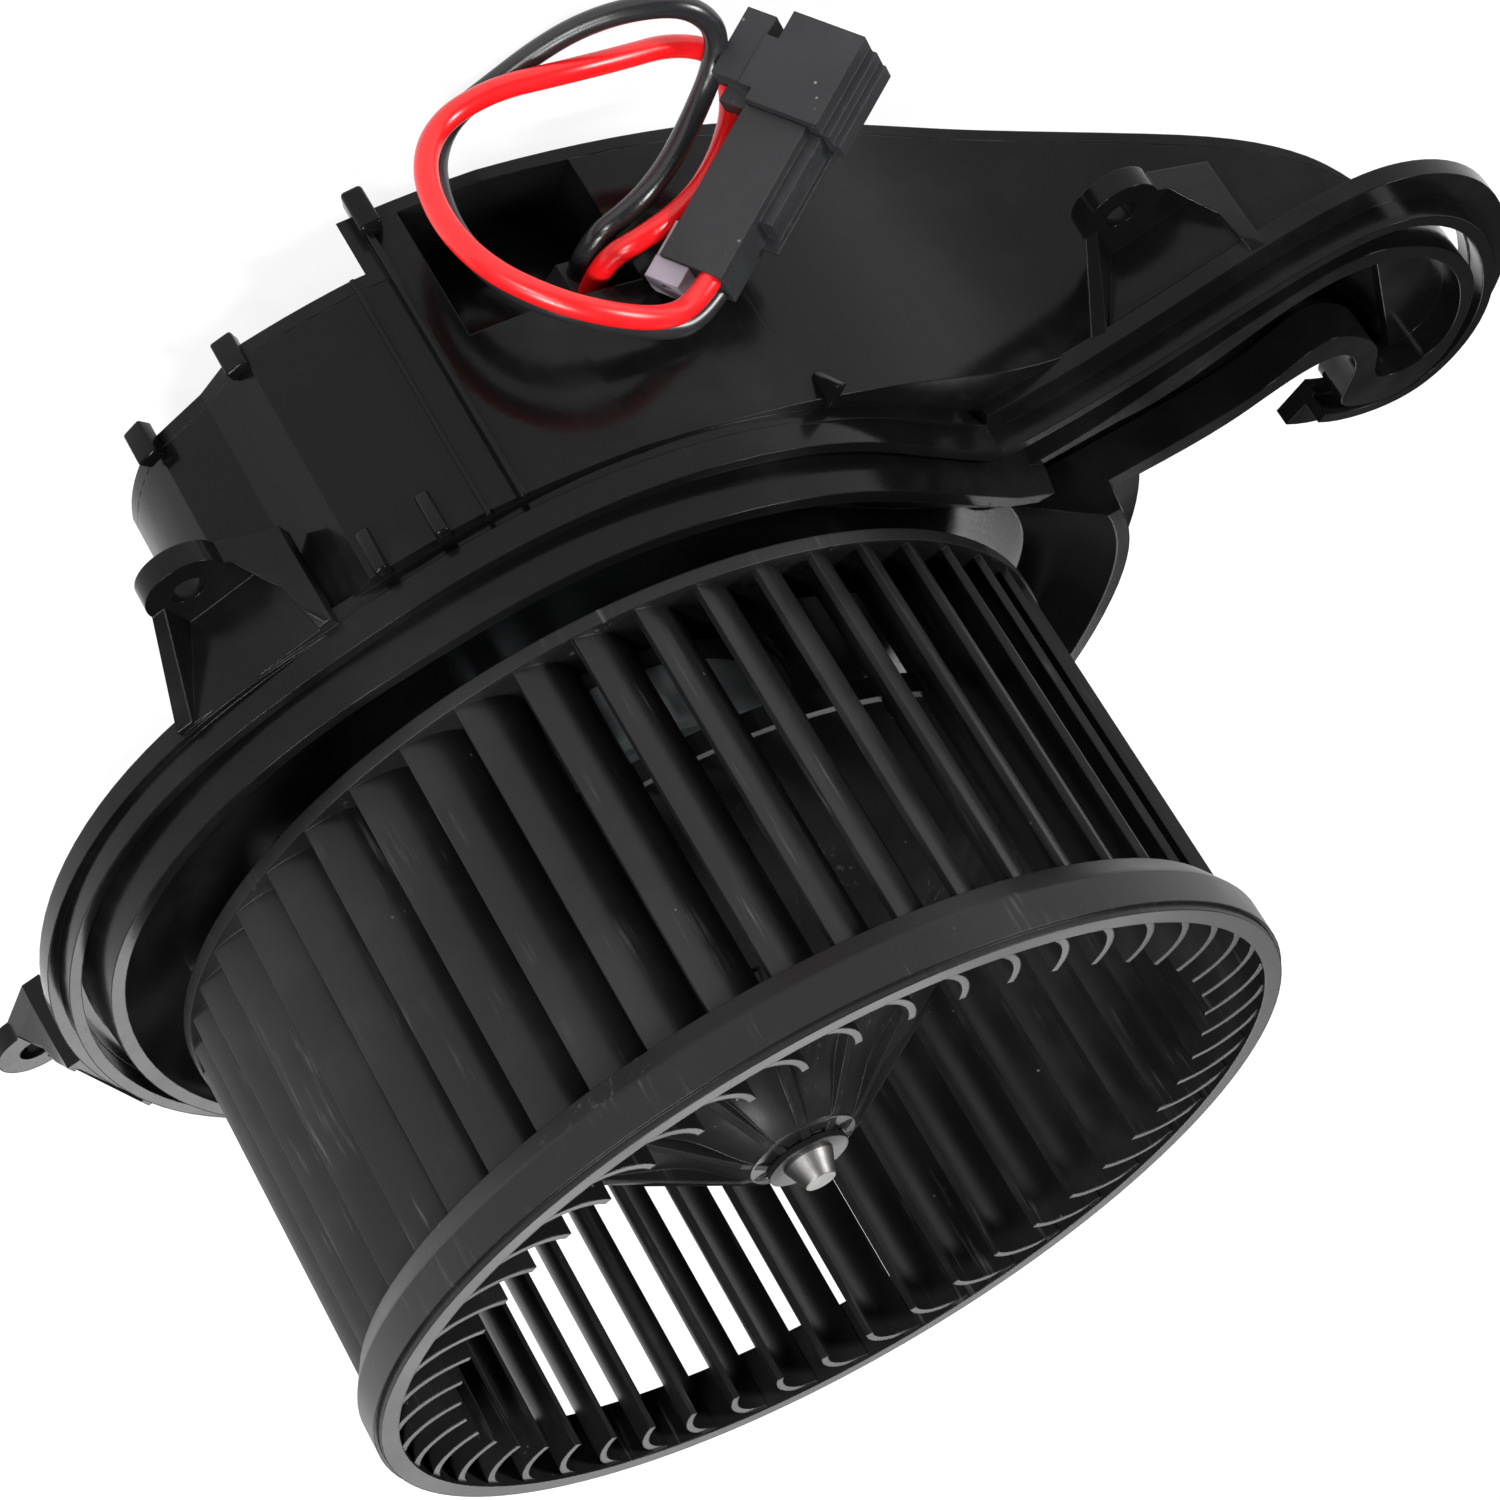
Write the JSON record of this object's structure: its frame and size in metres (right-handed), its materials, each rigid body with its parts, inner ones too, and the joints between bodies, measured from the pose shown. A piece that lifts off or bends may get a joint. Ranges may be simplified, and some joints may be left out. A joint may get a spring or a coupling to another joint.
{
  "type": "heater blower unit",
  "caption": "Car heater blower: squirrel-cage fan wheel on a motor in a moulded housing with a tail duct, screw lugs and a short two-wire lead that ends in a plug.",
  "frame": {"origin": "on the wheel's axis, in the wheel-side face of the housing's flange", "axes": "+Z along the wheel's axis towards its open inlet, tail towards -X, lead and plug on the -Y side"},
  "size_m": [0.2708, 0.1879, 0.144],
  "materials": {
    "housing_plastic": "glossy moulded black polypropylene",
    "cover_plastic": "black moulded plastic, slightly less glossy",
    "wheel_plastic": "satin black moulded plastic with scuffs",
    "grommet_rubber": "soft black rubber",
    "isolator_rubber": "black rubber",
    "zinc_plate": "zinc-plated pressed steel",
    "shaft_steel": "ground steel",
    "screw_steel": "zinc-plated screw",
    "lamination_steel": "varnished stamped laminations",
    "ferrite": "sintered ferrite",
    "copper_wire": "enamelled copper",
    "commutator_copper": "turned copper",
    "carbon": "pressed carbon",
    "holder_brass": "pressed brass",
    "terminal_brass": "tinned brass",
    "sintered_bronze": "oil-filled sintered bronze",
    "spring_steel": "drawn wire",
    "washer_nylon": "natural nylon",
    "card_board": "brown phenolic board",
    "red_insulation": "smooth PVC insulation",
    "black_insulation": "smooth PVC insulation",
    "plug_plastic": "dark grey satin plastic",
    "lock_plastic": "milky grey-violet plastic"
  },
  "bodies": {
    "stator": {"blower_housing": "housing_plastic", "rear_cover": "cover_plastic", "wire_grommet": "grommet_rubber", "magnets": "ferrite", "brushes": "carbon", "brush_holders": "holder_brass", "brush_springs": "spring_steel", "choke_coils": "copper_wire", "retaining_ring": "zinc_plate", "motor_screws": "screw_steel", "red_wire": "red_insulation", "black_wire": "black_insulation", "connector_body": "plug_plastic", "connector_cap": "plug_plastic", "connector_lock": "lock_plastic", "connector_terminals": "terminal_brass", "motor_can": "zinc_plate", "motor_end_plate": "zinc_plate", "motor_isolator": "isolator_rubber", "front_bush": "sintered_bronze", "rear_bush": "sintered_bronze", "front_bush_retainer": "zinc_plate", "rear_bush_retainer": "zinc_plate", "brush_card": "card_board"},
    "rotor": {"fan_wheel": "wheel_plastic", "motor_shaft": "shaft_steel", "armature_core": "lamination_steel", "armature_winding": "copper_wire", "commutator": "commutator_copper", "thrust_washers": "washer_nylon"}
  },
  "joints": [
    {"name": "wheel_spin", "type": "hinge", "parent": "stator", "child": "rotor", "pos_m": [0, 0, 0], "axis": [0, 0, 1], "continuous": true}
  ]
}
